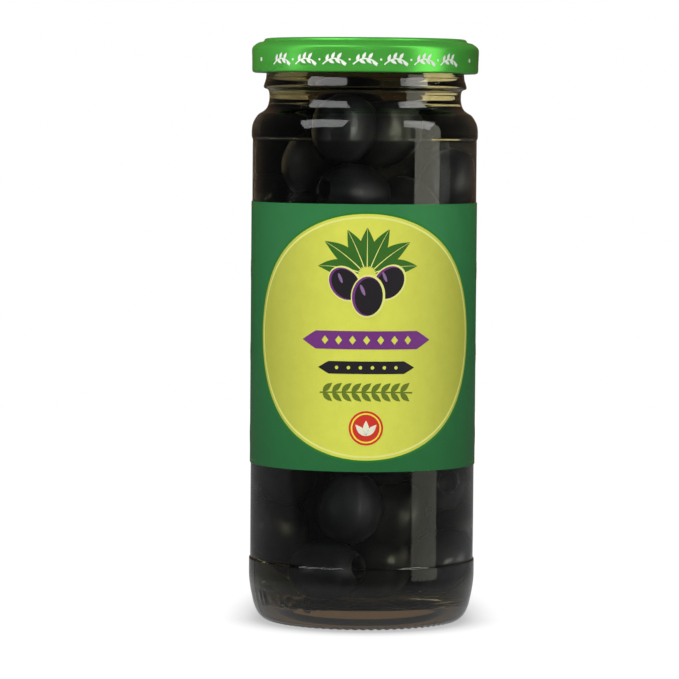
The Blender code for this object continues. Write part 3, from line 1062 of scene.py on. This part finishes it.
def build_lights(glass, label_pieces, lid_pieces):
    dry = label_pieces + lid_pieces
    left_slant = (-0.56, 0.38, -0.10)
    right_slant = (0.45, 0.37, -0.16)
    # Two panels overhead for the label and the lid, and two larger ones that the glass mirrors as glints.
    area_light("high_left", (-0.41, -0.34, 1.0), left_slant, 0.78, 0.26, 3.2, only=dry)
    area_light("high_right", (0.57, -0.30, 0.97), right_slant, 0.55, 0.26, 3.0, only=dry)
    area_light("glint_left", (-0.61, -0.535, 0.70), left_slant, 0.78, 0.66, 3.6, through=False, only=glass)
    area_light("glint_right", (0.78, -0.41, 0.66), right_slant, 0.55, 0.62, 3.4, through=False, only=glass)
    # The upright strip that the glass mirrors at the right, bright above and dim below.
    for name, height, tall, bright in (("strip_right", 0.15, 0.2, 2.0), ("strip_low", 0.026, 0.048, 0.85)):
        area_light(name, (0.1075, -0.0631, height), (0.449, 0.894, 0.0), 0.0604, tall, bright, upright=True,
                   colour=STRIP_COLOUR, diffuse=False, through=False)
    # Fills that leave no reflection.
    area_light("front_fill", (0.0, -1.5, 0.55), ACROSS, 0.7, 0.6, 15.3, mirrored=False, through=False)
    area_light("side_fill_left", (-1.2, -0.1, 0.3), DEEP, 0.6, 0.6, 3.4, mirrored=False, through=False)
    area_light("side_fill_right", (1.2, -0.1, 0.3), DEEP, 0.6, 0.6, 2.1, mirrored=False, through=False,
               only=label_pieces)
    area_light("back_fill", (0.3, 1.4, 0.7), ACROSS, 0.8, 0.6, 7.0, mirrored=False, through=False)
    # Lamps for the olives in the glass.
    inside = {"mirrored": False, "only": glass, "contents": True}
    area_light("heap_key", (0.82, -0.78, 0.16), ACROSS, 0.5, 0.4, 34.0, **inside)
    area_light("heap_right", (1.1, 0.0, 0.15), DEEP, 0.5, 0.3, 7.0, **inside)
    area_light("heap_left", (-1.1, -0.3, 0.15), DEEP, 0.5, 0.3, 3.5, **inside)
    # A tall panel at the left that the lid mirrors.
    area_light("lid_strip", (-0.96, -0.30, 0.45), DEEP, 0.2, 1.1, 1.5, only=lid_pieces)
    # Two warm cards behind the neck, seen through its sides alone.
    for name, side, bright in (("neck_card_left", -1, 1.9), ("neck_card_right", 1, 0.4)):
        area_light(name, (0.058 * side, 0.128, 0.148), (0.87, -0.5 * side, 0.0), 0.06, 0.10, bright,
                   mirrored=False, upright=True, colour=CARD_COLOUR, diffuse=False, only=glass)


def build_world():
    """White where the camera sees it, and elsewhere a dark grey that turns warm straight behind the jar."""
    world = bpy.data.worlds.new("studio")
    bpy.context.scene.world = world
    world.use_nodes = True
    place = add(world, "ShaderNodeTexCoord")
    behind = split_of(world, place.outputs["Generated"])["Y"]
    path = add(world, "ShaderNodeLightPath")
    seen = add(world, "ShaderNodeMix", data_type="RGBA")
    link(world, path.outputs["Is Camera Ray"], seen.inputs["Factor"])
    link(world, ramp(world, behind, [(0.5, GREY_ROUND), (0.95, WARM_BEHIND)]), seen.inputs["A"])
    seen.inputs["B"].default_value = (*WHITE, 1.0)
    background = world.node_tree.nodes["Background"]
    link(world, seen.outputs["Result"], background.inputs["Color"])
    background.inputs["Strength"].default_value = 1.0


def build_camera():
    """The photo's view: 147 mm up and 1.12 m away, looking down a little and left of the jar."""
    data = bpy.data.cameras.new("camera")
    data.sensor_fit = "HORIZONTAL"
    data.sensor_width = SENSOR_WIDTH
    data.lens = FOCAL_PIXELS / PICTURE_WIDTH * SENSOR_WIDTH
    data.clip_start = 0.05
    data.clip_end = 60.0
    camera = bpy.data.objects.new("camera", data)
    camera.location = CAMERA_PLACE
    aside = Matrix.Rotation(math.radians(LOOKS_LEFT), 4, "Z")
    down = Matrix.Rotation(math.pi / 2 - math.radians(LOOKS_DOWN), 4, "X")
    roll = Matrix.Rotation(math.radians(ROLL), 4, "Z")
    camera.rotation_mode = "QUATERNION"
    camera.rotation_quaternion = (aside @ down @ roll).to_quaternion()
    bpy.context.scene.collection.objects.link(camera)
    bpy.context.scene.camera = camera


def main():
    build_camera()
    build_stage()
    glass = build_glass(glass_material("clear glass", 1.0), glass_material("wet side of the glass", 0.0))
    brine = build_brine(brine_material())
    heap = build_olives(olive_material())
    # A near-black core in the heap's middle: olives there, in painted shade.
    core = turned("heap_core", curved(CORE_PROFILE), CORE_SIDES, shade_core_material())
    lid = build_lid(lacquer_material())
    label = build_label(print_material("green label print", "327644"))
    label_print = build_label_print()
    lid_print = build_lid_print(print_material("white lid print", "f2f7ec", 0.3))
    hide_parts("glass_jar")
    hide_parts("lid")
    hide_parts("label")
    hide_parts("olives")
    slots = {
        "glass": [glass, brine],
        "olive_skin": [heap, core],
        "lid_metal": [lid] + lid_print,
        "label_print": [label] + label_print,
    }
    for slot, pieces in slots.items():
        for piece in pieces:
            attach(piece, "root")
    build_lights([glass], [label] + label_print, [lid] + lid_print)
    build_world()
    scene = bpy.context.scene
    scene.view_settings.view_transform = "Standard"
    scene.view_settings.look = "None"
    scene.view_settings.exposure = 0.0


main()
